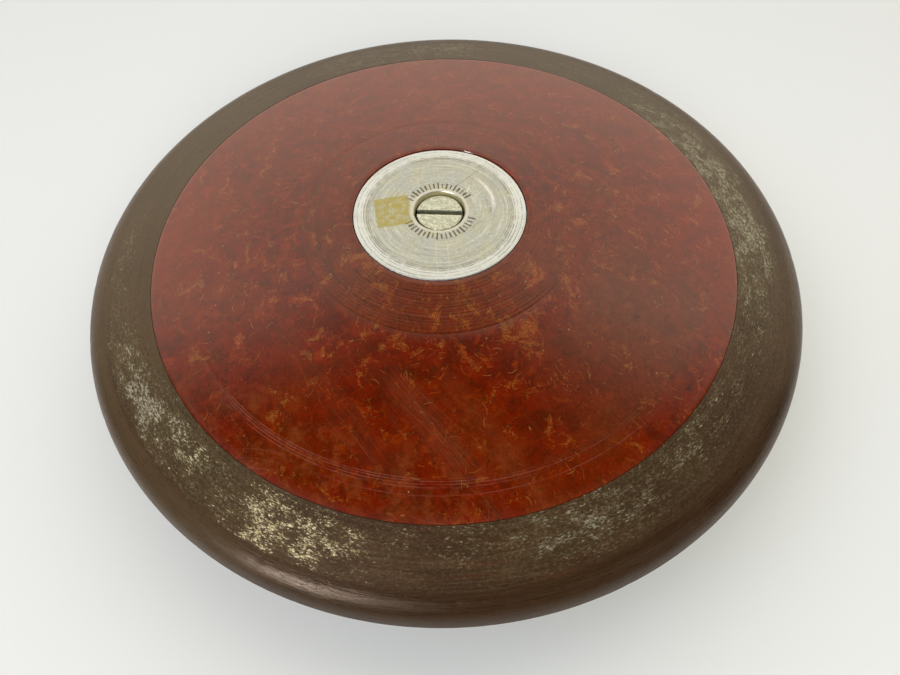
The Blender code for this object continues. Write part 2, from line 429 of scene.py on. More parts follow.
def make_plate(half, material):
    def relief(radius, height, angle):
        top = height > HALF_THICKNESS - 0.01 * MM
        fine = 0.004 * MM * np.sin(radius / (0.1 * MM)) + 0.003 * MM * np.sin(radius / (0.077 * MM))
        band = np.clip((radius - BAND_INNER) / (PLATE_RADIUS - BAND_INNER), 0, 1)
        lift = fine - 0.10 * MM * band**1.5
        for centre, depth in PLATE_RINGS:
            lift = lift + ring_cut(radius, centre * MM, 0.15 * MM, depth * MM)
        pit = dented(radius, angle, [(21.9 * MM, math.radians(260.2), 0.4 * MM, 0.12 * MM)])
        return top * (lift + tick_depth(radius, angle) + pit)

    lower = half == "lower"
    disc = turned(f"{half}_plate_disc", plate_outline(), PLATE_STEPS, relief=relief, lower=lower)
    fit(disc, f"{half}_centre_plate", "root", material)


# ---- screws and washers ----

SLOT_ANGLES = {"upper": -5.0, "lower": 28.0}
SLOT_WIDTH = 1.8 * MM
SLOT_DEPTH = 1.3 * MM


def screw_outline():
    low, top = heights_of("upper_centre_screw")
    under = top - 2.4 * MM
    shank, root = 3.92 * MM, 3.3 * MM
    head = dense([(0.0, top), (HEAD_RADIUS - 0.35 * MM, top)], 0.14 * MM)
    head += [
        (HEAD_RADIUS - 0.12 * MM, top - 0.1 * MM),
        (HEAD_RADIUS, top - 0.35 * MM),
        (HEAD_RADIUS, under + 0.15 * MM),
        (HEAD_RADIUS - 0.15 * MM, under),
        (shank + 0.2 * MM, under),
        (shank, under - 0.2 * MM),
    ]
    shaft = dense([(shank, under - 1.4 * MM), (shank, low + 0.6 * MM)], 0.09 * MM)
    return head + shaft + [(root, low), (0.0, low)], under - 1.4 * MM


def make_screw(half, material):
    lower = half == "lower"
    outline, thread_top = screw_outline()
    top = heights_of("upper_centre_screw")[1]

    def relief(radius, height, angle):
        crown = height > top - 0.01 * MM
        x, y = radius * np.cos(angle) / MM, radius * np.sin(angle) / MM
        cast = np.sin(1.9 * x + 1.1 * y + 2 * np.sin(1.3 * y))
        cast = cast + np.sin(2.7 * y - 0.8 * x + 2 * np.sin(1.7 * x))
        cast = cast + np.sin(5.3 * x + 3.7 * np.sin(2.1 * y)) * 0.6
        cast = cast + np.sin(6.1 * y + 4.1 * np.sin(2.6 * x)) * 0.6
        turn = (height / THREAD_PITCH - angle / math.tau) % 1
        groove = np.abs(2 * turn - 1)
        threaded = (height < thread_top) & (radius > 3.8 * MM)
        lead = np.clip((thread_top - height) / (1.0 * MM), 0, 1)
        return crown * 0.022 * MM * cast - threaded * lead * 0.62 * MM * (1 - groove)

    name = f"{half}_slotted_screw"
    piece = turned(name, outline, SCREW_STEPS, closed=False, relief=relief, lower=lower)
    cut_slot(piece, half, MIDDLE - top if lower else MIDDLE + top)
    fit(piece, f"{half}_centre_screw", f"{half}_screw", material)


def cut_slot(piece, half, height):
    """Saw the driver slot through the head."""
    size = Matrix.Diagonal((4 * HEAD_RADIUS, SLOT_WIDTH, 2 * SLOT_DEPTH, 1.0))
    saw = add_object("slot_saw", shaped("slot_saw", bmesh.ops.create_cube, size=1.0, matrix=size))
    saw.location = (0.0, 0.0, height)
    saw.rotation_euler = (0.0, 0.0, math.radians(SLOT_ANGLES[half]))
    boolean = piece.modifiers.new("slot", "BOOLEAN")
    boolean.object = saw
    boolean.operation = "DIFFERENCE"
    boolean.solver = "EXACT"
    bpy.context.view_layer.update()
    evaluated = piece.evaluated_get(bpy.context.evaluated_depsgraph_get())
    cut_mesh = bpy.data.meshes.new_from_object(evaluated)
    piece.modifiers.clear()
    piece.data = cut_mesh
    cut_mesh.set_sharp_from_angle(angle=SLOT_SHARP_ANGLE)
    bpy.data.objects.remove(saw)


def make_ring(name, node, body, inner, slot, material, ease=0.1 * MM):
    """A plain turned ring in a central or upper node's place; a lower node is turned over."""
    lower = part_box(node)[1].z < MIDDLE
    low, high = heights_of(node)
    if lower:
        low, high = -high, -low
    outer = radius_of(node)
    corners = [(inner, high), (outer, high), (outer, low), (inner, low)]
    ring = turned(name, eased(corners, ease), RING_STEPS, lower=lower)
    fit(ring, node, body, material)


def make_dowel(number, material):
    node = f"rim_dowel_{number}"
    low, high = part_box(node)
    centre = (low + high) / 2
    radius, half_length = (high.x - low.x) / 2, (high.z - low.z) / 2
    ease = 0.25 * MM
    corners = [
        (0.0, half_length),
        (radius - ease, half_length),
        (radius, half_length - ease),
        (radius, ease - half_length),
        (radius - ease, -half_length),
        (0.0, -half_length),
    ]
    pin = turned(f"rim_pin_{number}", corners, DOWEL_STEPS, closed=False)
    pin.data.transform(Matrix.Translation((centre.x, centre.y, 0)))
    fit(pin, node, "root", material)


# ---- materials ----

# Radius at which a ringwise position keeps its scale; a group of strokes' width and core, in cells.
RINGWISE_RADIUS = 97
GROUP_WIDTH = 0.16
GROUP_CORE = 0.13


class Nodes:
    """A node tree, built a node at a time; most calls give the socket that holds their result."""

    def __init__(self, tree):
        self.tree = tree

    def add(self, kind, **settings):
        node = self.tree.nodes.new("ShaderNode" + kind)
        for key, value in settings.items():
            setattr(node, key, value)
        return node

    def feed(self, socket, value):
        if isinstance(value, bpy.types.NodeSocket):
            self.tree.links.new(value, socket)
        elif isinstance(value, tuple) and len(socket.default_value) == 4:
            socket.default_value = (*value, 1.0)
        else:
            socket.default_value = value

    def fill(self, node, **inputs):
        """Feed a node's inputs by name, with _ for a space."""
        for name, value in inputs.items():
            self.feed(node.inputs[name.replace("_", " ")], value)

    def math(self, operation, *values):
        node = self.add("Math", operation=operation)
        for socket, value in zip(node.inputs, values):
            self.feed(socket, value)
        return node.outputs[0]

    def ramp(self, value, slope, start):
        """value times slope, plus start."""
        return self.math("MULTIPLY_ADD", value, slope, start)

    def most(self, *values):
        return reduce(partial(self.math, "MAXIMUM"), values)

    def times(self, *values):
        return reduce(partial(self.math, "MULTIPLY"), values)

    def split(self, value):
        node = self.add("SeparateXYZ")
        self.feed(node.inputs[0], value)
        return tuple(node.outputs)

    def join(self, x, y, z=0.0):
        node = self.add("CombineXYZ")
        self.fill(node, X=x, Y=y, Z=z)
        return node.outputs[0]

    def step(self, value, low, high):
        """0 below low and 1 above high, smooth between; low above high turns it round."""
        if low > high:
            return self.math("SUBTRACT", 1.0, self.step(value, high, low))
        node = self.add("MapRange", interpolation_type="SMOOTHSTEP")
        self.fill(node, Value=value, From_Min=low, From_Max=high)
        return node.outputs[0]


class Finish(Nodes):
    """One procedural material. Positions are in the frame, in millimetres."""

    def __init__(self, name):
        self.material = bpy.data.materials.new(name)
        self.material.use_nodes = True
        super().__init__(self.material.node_tree)
        self.shader = self.tree.nodes["Principled BSDF"]
        self.colour = None
        metres = self.add("VectorMath", operation="SCALE")
        self.feed(metres.inputs[0], self.add("TexCoord").outputs["Object"])
        self.fill(metres, Scale=1 / MM)
        self.place = metres.outputs[0]
        self.x, self.y, self.z = self.split(self.place)
        self.radius = self.length(self.x, self.y)
        safe = self.most(self.radius, 0.001)
        self.east = self.math("DIVIDE", self.x, safe)
        self.north = self.math("DIVIDE", self.y, safe)

    def length(self, x, y):
        return self.math("SQRT", self.ramp(x, x, self.times(y, y)))

    def near(self, value, centre, reach, soft):
        """1 within reach of centre, falling smoothly to 0 over soft beyond it."""
        away = self.math("ABSOLUTE", self.math("SUBTRACT", value, centre))
        return self.step(away, reach + soft, reach)

    def noise(self, place, scale, detail=2.0, roughness=0.5, distortion=0.0):
        node = self.add("TexNoise")
        self.fill(node, Vector=place, Scale=scale, Detail=detail)
        self.fill(node, Roughness=roughness, Distortion=distortion)
        return node.outputs["Fac"]

    def mix(self, share, first, second):
        node = self.add("Mix", data_type="RGBA")
        self.feed(node.inputs[0], share)
        self.feed(node.inputs[6], first)
        self.feed(node.inputs[7], second)
        return node.outputs[2]

    def over(self, colour, tone, *shares):
        """The colour with a tone laid over it, as far as all the shares allow."""
        return self.mix(self.times(*shares), colour, tone)

    def coat(self, tone, *shares):
        """Lay a tone over the colour so far."""
        self.colour = self.over(self.colour, tone, *shares)

    def ringwise(self, along, across, shift, *settings):
        """Noise stretched round the disc: along and across are cycles a millimetre."""
        reach = RINGWISE_RADIUS * along
        slant = self.ramp(self.math("SUBTRACT", self.radius, self.z), across, shift)
        place = self.join(self.times(self.east, reach), self.times(self.north, reach), slant)
        return self.noise(place, 1.0, *settings)

    def toward(self, degrees, spread):
        """1 at an azimuth, falling to 0 at spread degrees from it."""
        turn = math.radians(degrees)
        facing = self.ramp(self.east, math.cos(turn), self.times(self.north, math.sin(turn)))
        return self.step(facing, math.cos(math.radians(spread)), 1.0)

    def aligned(self, degrees, x=0.0, y=0.0):
        """The position along and across a direction, from a point in the disc's plane."""
        turn = math.radians(degrees)
        east = self.math("SUBTRACT", self.x, x)
        north = self.math("SUBTRACT", self.y, y)
        along = self.ramp(east, math.cos(turn), self.times(north, math.sin(turn)))
        across = self.ramp(north, math.cos(turn), self.times(east, -math.sin(turn)))
        return along, across

    def scratch(self, start, end, half_width):
        """One straight scratch between two points, tapering at its ends."""
        middle = ((start[0] + end[0]) / 2, (start[1] + end[1]) / 2)
        reach = math.dist(start, end) / 2
        degrees = math.degrees(math.atan2(end[1] - start[1], end[0] - start[0]))
        along, across = self.aligned(degrees, *middle)
        line = self.step(self.math("ABSOLUTE", across), half_width * 1.6, half_width * 0.4)
        return self.times(line, self.step(self.math("ABSOLUTE", along), reach, reach * 0.8))

    def cells(self, place, scale):
        node = self.add("TexVoronoi", voronoi_dimensions="2D")
        self.fill(node, Vector=place, Scale=scale)
        return node

    def strands(self, cell, length, width, share, shift, degrees=0.0, spread=360.0, bend=4.0, count=1):
        """Short strokes, a group of count to a cell, in millimetres; also a random value for each."""
        flat = self.join(self.ramp(self.x, 1 / cell, shift), self.ramp(self.y, 1 / cell, shift / 2))
        cells = self.cells(flat, 1.0)
        chance = self.split(cells.outputs["Color"])
        local = self.add("VectorMath", operation="SUBTRACT")
        self.feed(local.inputs[0], flat)
        self.feed(local.inputs[1], cells.outputs["Position"])
        turn = self.add("VectorRotate", rotation_type="Z_AXIS")
        first = -math.radians(degrees - spread / 2)
        angle = self.ramp(chance[0], -math.radians(spread), first)
        self.fill(turn, Vector=local.outputs[0], Angle=angle)
        along, across, _ = self.split(turn.outputs[0])
        curve = self.times(self.math("SUBTRACT", chance[1], 0.5), bend)
        across = self.ramp(self.times(along, along), curve, across)
        distance = self.math("ABSOLUTE", across)
        away = self.math("PINGPONG", distance, GROUP_WIDTH / count) if count > 1 else distance
        half = 0.5 * width / cell
        line = self.step(away, half * 1.5, half * 0.5)
        if count > 1:
            line = self.times(line, self.step(distance, GROUP_WIDTH, GROUP_CORE))
        ends = self.step(self.math("ABSOLUTE", along), 0.5 * length / cell, 0.3 * length / cell)
        present = self.math("LESS_THAN", chance[2], share)
        return self.times(line, ends, present), chance[1]

    def threads(self, scale, detail, distortion, width, shift):
        """Tangled threads: the winding lines where a noise passes its middle value."""
        flat = self.join(self.math("ADD", self.x, shift), self.math("SUBTRACT", self.y, shift))
        field = self.noise(flat, scale, detail, 0.5, distortion)
        away = self.math("ABSOLUTE", self.math("SUBTRACT", field, 0.5))
        return self.step(away, width, width * 0.3)

    def bump(self, height, strength, distance=0.1 * MM):
        node = self.add("Bump")
        self.fill(node, Height=height, Strength=strength, Distance=distance)
        return node.outputs["Normal"]

    def finish(self, **inputs):
        self.fill(self.shader, Base_Color=self.colour, **inputs)
        return self.material


# Colours of the moulded sides, linear.
DARK_RED = (0.086, 0.0060, 0.0005)
MID_RED = (0.140, 0.0085, 0.0005)
ORANGE_RED = (0.23, 0.024, 0.0010)
BROWN = (0.056, 0.0100, 0.0020)
OCHRE = (0.26, 0.088, 0.012)
GOLD = (0.38, 0.175, 0.040)
FIBRE_ORANGE = (0.34, 0.062, 0.005)
SCUFF = (0.30, 0.105, 0.080)

# Strands in the tufts: cell, length and width in millimetres, share of cells, colour, cover.
TUFT_STRANDS = (
    (1.7, 1.2, 0.14, 0.45, GOLD, 0.40),
    (2.3, 1.7, 0.15, 0.45, OCHRE, 0.55),
    (2.0, 1.4, 0.17, 0.40, FIBRE_ORANGE, 0.50),
)

# Single curls of fibre: cell, length and width in millimetres, share of cells, colour, bend.
LONE_CURLS = (
    (8.3, 3.8, 0.14, 0.34, OCHRE, 3.4),
    (6.3, 2.9, 0.14, 0.22, GOLD, 4.2),
    (6.1, 2.2, 0.20, 0.22, FIBRE_ORANGE, 2.8),
    (9.7, 1.2, 0.24, 0.24, GOLD, 1.5),
)

# Rings scored near the edge: radius, middle and reach in degrees from the worn front, strength.
SCORED_ARCS = (
    (78.3, -15, 36, 0.9),
    (78.9, -12, 38, 1.0),
    (79.6, -2, 62, 0.8),
    (80.4, -8, 40, 0.8),
    (82.3, 14, 46, 0.7),
)


def mottled_red(f, flat, worn_at, turned_zone):
    """The compound itself, in clouds of dark, warm and brown red."""
    mottle = f.noise(flat, 0.15, 4.0, 0.6, 0.5)
    f.colour = f.mix(f.step(mottle, 0.36, 0.58), DARK_RED, MID_RED)
    warm = f.step(f.noise(flat, 0.21, 3.0, 0.55, 1.0), 0.54, 0.70)
    f.coat(ORANGE_RED, warm, 0.6)
    region = f.step(f.noise(flat, 0.030, 2.0, 0.5), 0.44, 0.60)
    f.coat((0.146, 0.018, 0.0012), region, 0.40)
    flank_band = f.times(f.step(f.radius, 42.0, 54.0), f.step(f.radius, 86.0, 78.0))
    right_flank = f.times(f.toward(worn_at + 60, 36), flank_band)
    f.coat((0.105, 0.034, 0.013), right_flank, 0.45)
    turned_front = f.times(turned_zone, f.toward(worn_at, 120))
    f.coat((0.130, 0.032, 0.008), turned_front, 0.40)
    smear = f.times(f.near(f.radius, 80.0, 5.0, 8.0), f.toward(worn_at - 12, 45))
    smear = f.times(smear, f.step(f.noise(flat, 0.12, 4.0, 0.7), 0.46, 0.62))
    f.coat((0.28, 0.078, 0.020), smear, 0.28)
    smut = f.step(f.noise(flat, 0.45, 3.0, 0.6, 0.6), 0.52, 0.66)
    f.coat(BROWN, smut, 0.38)
    grain = f.noise(flat, 1.5, 4.0, 0.7)
    f.coat(ORANGE_RED, f.step(grain, 0.52, 0.72), 0.40)
    f.coat(BROWN, f.step(grain, 0.48, 0.30), 0.45)
    veil = f.step(f.noise(flat, 0.34, 5.0, 0.72, 0.6), 0.50, 0.70)
    f.coat(OCHRE, veil, f.ramp(region, 0.12, 0.05))
    pit = f.step(f.noise(flat, 0.17, 4.0, 0.65, 0.8), 0.36, 0.30)
    f.coat((0.022, 0.0045, 0.0015), pit, 0.6)


def fibre_tufts(f, flat, shift, worn_at):
    """Tangled tufts of chopped fibre, each in a darker halo, with single curls between them."""
    ring = f.times(f.near(f.radius, 38.0, 7.0, 14.0), f.toward(worn_at, 120))
    field = f.noise(flat, 0.155, 3.0, 0.66, 0.8)
    crowd = f.ramp(ring, 0.06, field)
    tuft = f.step(crowd, 0.600, 0.715)
    halo = f.step(crowd, 0.50, 0.62)
    shade = f.step(f.noise(flat, 0.28, 3.0, 0.6, 0.7), 0.50, 0.68)
    f.coat(BROWN, shade, f.ramp(halo, 0.35, 0.30))
    f.coat(OCHRE, tuft, 0.16)
    tint = f.mix(f.step(f.noise(flat, 0.09, 1.0), 0.42, 0.58), OCHRE, FIBRE_ORANGE)
    tangle = f.most(
        f.threads(0.62, 2.0, 1.2, 0.020, shift),
        f.threads(0.85, 1.0, 1.8, 0.024, shift + 31),
        f.strands(1.5, 1.3, 0.20, 0.9, shift + 1.3)[0],
        f.strands(1.1, 1.0, 0.17, 0.9, shift + 2.9)[0],
    )
    f.coat(tint, tangle, tuft, 0.62)
    stipple = f.step(f.noise(flat, 2.3, 2.0, 0.7, 0.4), 0.52, 0.66)
    f.coat(GOLD, stipple, f.step(crowd, 0.600, 0.71), 0.42)
    for cell, length, width, share, tone, cover in TUFT_STRANDS:
        strand = f.strands(cell, length, width, share, shift + cell, bend=2.2)[0]
        f.coat(tone, strand, f.ramp(halo, cover, 0.05))
    for cell, length, width, share, tone, bend in LONE_CURLS:
        strand, chance = f.strands(cell, length, width, share, shift + cell, bend=bend)
        f.coat(tone, strand, f.ramp(chance, 0.60, 0.04))


def pale_specks_and_far_side(f, flat):
    """A few pale specks, and the paler red of the far side and the flanks."""
    dots = f.cells(flat, 0.09)
    lucky = f.math("LESS_THAN", f.split(dots.outputs["Color"])[0], 0.14)
    dot = f.times(f.step(dots.outputs["Distance"], 0.022, 0.010), lucky)
    f.coat((0.48, 0.34, 0.24), dot, 0.6)
    # Paler red towards the far side and on the flanks.
    flanks = f.times(f.step(f.math("ABSOLUTE", f.x), 48.0, 84.0), f.step(f.y, -45.0, 5.0))
    paler_far_side = f.most(f.step(f.y, 0.0, 75.0), flanks)
    f.coat((0.27, 0.028, 0.010), paler_far_side, 0.25)


def straight_scuffs(f, shift, worn, side, broad):
    """Fine straight scratches, most of them one way, where the disc was slid about."""
    return f.most(
        f.times(f.strands(26, 20, 0.12, 0.45, shift + 3.1, -50, 12, 0.15, 3)[0], worn, side, 0.6),
        f.times(f.strands(19, 15, 0.10, 0.50, shift + 5.7, -52, 16, 0.3)[0], worn, 0.55),
        f.times(f.strands(11, 8, 0.10, 0.45, shift + 8.3, -50, 24, 0.5)[0], worn, 0.6),
        f.times(f.strands(17, 12, 0.10, 0.30, shift + 8.3, 44, 30, 0.4)[0], worn, side, 0.5),
        f.times(f.strands(22, 17, 0.12, 0.35, shift + 4.4, -4, 20, 0.7, 3)[0], broad, side, 0.6),
        f.times(f.strands(26, 18, 0.10, 0.40, shift + 9.4, -40, 180, 0.5)[0], broad, 0.35),
    )


def rubbed_film(f, shift, worn_at):
    """Pale bands of hairlines across the front, where the varnish is rubbed through."""
    along, across = f.aligned(worn_at - 315.7)
    stretched = f.ramp(along, 1 / 14, shift)
    hairs_place = f.join(stretched, f.times(across, 2.3), shift)
    hairs = f.step(f.noise(hairs_place, 1.0, 4.0, 0.7), 0.40, 0.74)
    span = f.times(f.step(along, 18.0, 46.0), f.step(along, 72.0, 60.0))
    rubbed_band = f.times(f.near(across, -42.0, 0.3, 6.0), span)
    faint_bands = f.times(f.most(f.near(across, -57.5, 0.8, 5.0), f.near(across, -31.0, 0.5, 3.5)), 0.40)
    stretched = f.ramp(along, 1 / 30, shift)
    film_place = f.join(stretched, f.times(across, 1 / 4.0), shift)
    drifting = f.times(f.step(f.noise(film_place, 1.0, 3.0, 0.6), 0.54, 0.70), 0.45)
    return f.times(f.most(rubbed_band, faint_bands, drifting), f.ramp(hairs, 0.70, 0.25))


def scored_arcs(f, worn_at, fray):
    """Thin frayed rings scored near the edge, round the front."""
    arcs = 0.0
    for radius, middle, reach, amount in SCORED_ARCS:
        span = f.times(f.toward(worn_at + middle, reach), amount)
        arcs = f.most(arcs, f.times(f.near(f.radius, radius, 0.06, 0.14), span))
    return f.times(arcs, f.step(fray, 0.30, 0.62))


def red_composition(name, shift, worn_at):
    """Varnished moulding compound, mottled red; worn_at is the azimuth of its worn front."""
    f = Finish(name)
    flat = f.join(f.math("ADD", f.x, shift * 7), f.math("ADD", f.y, shift * 3))
    turned_zone = f.step(f.radius, 43.0, 40.5)
    mottled_red(f, flat, worn_at, turned_zone)
    fibre_tufts(f, flat, shift, worn_at)
    pale_specks_and_far_side(f, flat)

    worn = f.toward(worn_at - 12, 62)
    side = f.step(f.radius, 44.0, 56.0)
    scuffs = straight_scuffs(f, shift, worn, side, f.toward(worn_at, 115))
    film = f.times(rubbed_film(f, shift, worn_at), worn, side)
    fray = f.ringwise(0.12, 2.5, shift + 4, 2.0)
    arcs = scored_arcs(f, worn_at, fray)
    marks = f.most(scuffs, f.times(arcs, 0.9))
    f.coat((0.215, 0.080, 0.034), film, 0.42)
    f.coat((0.26, 0.090, 0.042), scuffs, 0.42)
    f.coat(SCUFF, arcs, 0.32)

    lathe = f.step(f.ringwise(0.008, 1.7, shift + 2, 2.0, 0.7), 0.54, 0.66)
    lathe = f.times(lathe, turned_zone)
    groove = f.times(f.near(f.radius, 41.2, 0.08, 0.2), f.toward(worn_at - 30, 105))
    f.coat((0.040, 0.009, 0.004), lathe, 0.36)
    f.coat((0.030, 0.007, 0.003), groove, 0.4)
    edge = f.step(f.radius, 86.0, 88.6)
    rubbed = f.times(edge, f.toward(worn_at - 30, 60), f.ramp(fray, 0.9, -0.15))
    f.coat((0.20, 0.060, 0.040), edge, 0.06)
    f.coat((0.25, 0.065, 0.045), rubbed, 0.22)

    haze = f.step(f.noise(flat, 0.09, 3.0, 0.6), 0.4, 0.7)
    rough = f.ramp(haze, 0.05, 0.08)
    rough = f.ramp(f.most(marks, f.times(film, 0.3)), 0.20, rough)
    rough = f.ramp(edge, 0.07, rough)
    peel = f.ramp(marks, -0.4, f.noise(f.place, 1.3, 3.0, 0.5))
    peel = f.ramp(lathe, -0.8, peel)
    normal = f.bump(peel, 0.08)
    return f.finish(Roughness=rough, Normal=normal, IOR=1.5)


# Where the rim is worn to bright metal: azimuth, spread, amount, middle radius, half width.
RIM_WEAR = (
    (247.5, 12, 0.50, 98, 9),
    (262, 16, 0.24, 93, 6),
    (244, 24, 0.31, 98, 9),
    (289, 14, 0.30, 96, 9),
    (296, 40, 0.38, 94, 7),
    (330, 34, 0.27, 93, 6),
    (352, 26, 0.40, 94, 7),
    (8, 26, 0.50, 95, 9),
    (28, 22, 0.56, 94, 8),
    (48, 24, 0.20, 95, 8),
    (72, 26, 0.25, 97, 8),
    (98, 24, 0.50, 96, 9),
    (128, 26, 0.20, 98, 8),
    (158, 28, 0.16, 95, 7),
    (178, 12, 0.42, 100, 3),
    (196, 22, 0.35, 99, 6),
    (211, 20, 0.41, 99, 6),
    (217, 16, 0.36, 94, 7),
    (228, 20, 0.24, 96, 8),
)


def steel_patina(f, shift, outer, streak, below):
    """Brown-black oxide, clouded and brushed, with painted shade on the front and the lower part of the
    edge and a painted sheen on the far side.
    """
    cloud = f.ringwise(0.045, 0.10, shift, 3.0, 0.6)
    f.colour = f.mix(f.step(cloud, 0.36, 0.64), (0.038, 0.017, 0.0065), (0.060, 0.030, 0.0125))
    olive = f.most(f.toward(222, 34), f.toward(20, 60), f.times(f.toward(292, 26), 0.6))
    f.coat((0.070, 0.052, 0.022), olive, f.step(f.radius, 104, 100), 0.45)
    rust = f.times(f.toward(275, 30), f.step(f.ringwise(0.06, 0.5, shift + 1, 3.0), 0.45, 0.7))
    f.coat((0.070, 0.020, 0.005), rust, 0.5)
    f.coat((0.022, 0.010, 0.004), f.step(streak, 0.50, 0.66), 0.55)
    f.coat((0.095, 0.058, 0.032), f.step(streak, 0.46, 0.32), 0.35)
    grain = f.ringwise(1.0, 2.0, shift + 6, 4.0, 0.75)
    f.coat((0.017, 0.008, 0.004), f.step(grain, 0.50, 0.64), 0.60)
    f.coat((0.110, 0.074, 0.042), f.step(grain, 0.48, 0.34), 0.45)
    # Painted sheen: a lighter grey-brown over the far side and, fading out, the flanks, where the rim
    # mirrors the bright room.
    f.coat((0.085, 0.066, 0.044), f.toward(100, 125), 0.30)
    f.coat((0.019, 0.010, 0.0055), f.toward(308, 34), 0.26)
    # Painted shade: the outer edge darkened all round and most at the front, which faces the dark side of
    # the room.
    front = f.ramp(f.toward(275, 45), 0.38, 0.30)
    f.coat((0.026, 0.011, 0.0035), outer, front)
    left = f.most(f.times(f.toward(218, 34), outer), f.times(f.toward(165, 50), 0.6))
    f.coat((0.096, 0.062, 0.030), left, 0.5)
    # Painted shade: the lower part of the edge turned darker brown.
    f.coat((0.030, 0.010, 0.002), below, 0.75)


def rim_wear(f, shift):
    """How far the rim is worn, from RIM_WEAR, broken up into drifts."""
    wear = 0.04
    for degrees, spread, amount, radius, reach in RIM_WEAR:
        band = f.near(f.radius, radius, reach - 5, 8.0)
        wear = f.ramp(f.times(f.toward(degrees + shift * 11, spread), band), amount, wear)
    drift = f.step(f.ringwise(0.17, 0.28, shift + 5, 3.0, 0.6), 0.36, 0.64)
    return f.math("MINIMUM", f.times(wear, f.ramp(drift, 0.70, 0.55)), 1.05)


def bare_metal(f, shift, painted_golden_glints):
    """Bright metal in the worn specks: silver on the left, else grey-green, and at the front golden with
    cream peaks, as painted glints of a warm light.
    """
    silver = f.most(f.toward(208, 24), f.times(f.toward(300, 50), 0.5))
    metal = f.mix(silver, (0.27, 0.275, 0.215), (0.44, 0.42, 0.34))
    metal = f.over(metal, (0.82, 0.68, 0.38), painted_golden_glints, 0.95)
    # Painted glints: this noise darkens some specks and, at the golden front, lays cream-white peaks that
    # stand in for a lamp's sparkle.
    glint = f.ringwise(1.5, 3.0, shift + 12, 2.0, 0.7)
    metal = f.over(metal, (0.22, 0.18, 0.10), f.step(glint, 0.54, 0.40), 0.65)
    return f.over(metal, (1.0, 0.95, 0.76), painted_golden_glints, f.step(glint, 0.52, 0.64))


def patinated_steel(name, shift):
    """Brown-black steel, worn through to bright metal in specks drawn out round the rim, with painted
    shade, sheen and glints.
    """
    f = Finish(name)
    outer = f.step(f.radius, 102.8, 105.0)
    # The lower part of the round edge: painted shade, where the shadowed floor beside the disc leaves it
    # dark; it is also made rougher.
    below = f.times(outer, f.step(f.z, 26.0, 22.0))
    streak = f.ringwise(0.035, 1.5, shift + 3, 3.0, 0.65)
    brush = f.ringwise(0.14, 2.6, shift + 8, 3.0, 0.75)
    steel_patina(f, shift, outer, streak, below)

    clump = f.ringwise(0.72, 1.60, shift + 7, 5.0, 0.76, 0.4)
    speck = f.ringwise(1.1, 2.4, shift + 9, 3.0, 0.75)
    spread = f.ramp(speck, 0.60, f.times(rim_wear(f, shift), 0.20))
    score = f.ramp(clump, 0.60, spread)
    score = f.ramp(outer, -0.3, score)
    bare = f.step(score, 0.785, 0.890)
    # The golden front: real worn metal, painted bright golden as the reflection of a warm light, with
    # fewer dull specks.
    painted_golden_glints = f.toward(247.5, 34)
    dull = f.times(f.step(score, 0.690, 0.800), f.ramp(painted_golden_glints, -0.22, 0.60))
    f.coat((0.140, 0.112, 0.060), dull)
    f.coat(bare_metal(f, shift, painted_golden_glints), bare)
    rough = f.ramp(bare, -0.10, 0.38)
    rough = f.ramp(outer, f.ramp(brush, 0.45, -0.29), rough)
    rough = f.ramp(below, 0.25, rough)
    height = f.ramp(clump, 1.0, f.times(speck, 0.8))
    land = f.ramp(outer, -0.85, 1.0)
    height = f.ramp(streak, 0.4, f.times(height, land))
    height = f.ramp(f.times(brush, outer), 2.0, height)
    normal = f.bump(height, 0.40)
    return f.finish(
        Roughness=rough, Metallic=f.times(bare, 0.35), Normal=normal, IOR=1.4,
        Specular_Tint=(1.0, 0.84, 0.66),
    )


# Dirt in the plate's grooves: radius in millimetres, strength.
PLATE_GROOVES = ((20.4, 0.35), (21.1, 0.65), (21.7, 0.8), (22.4, 0.8), (23.2, 0.35), (24.3, 0.45))


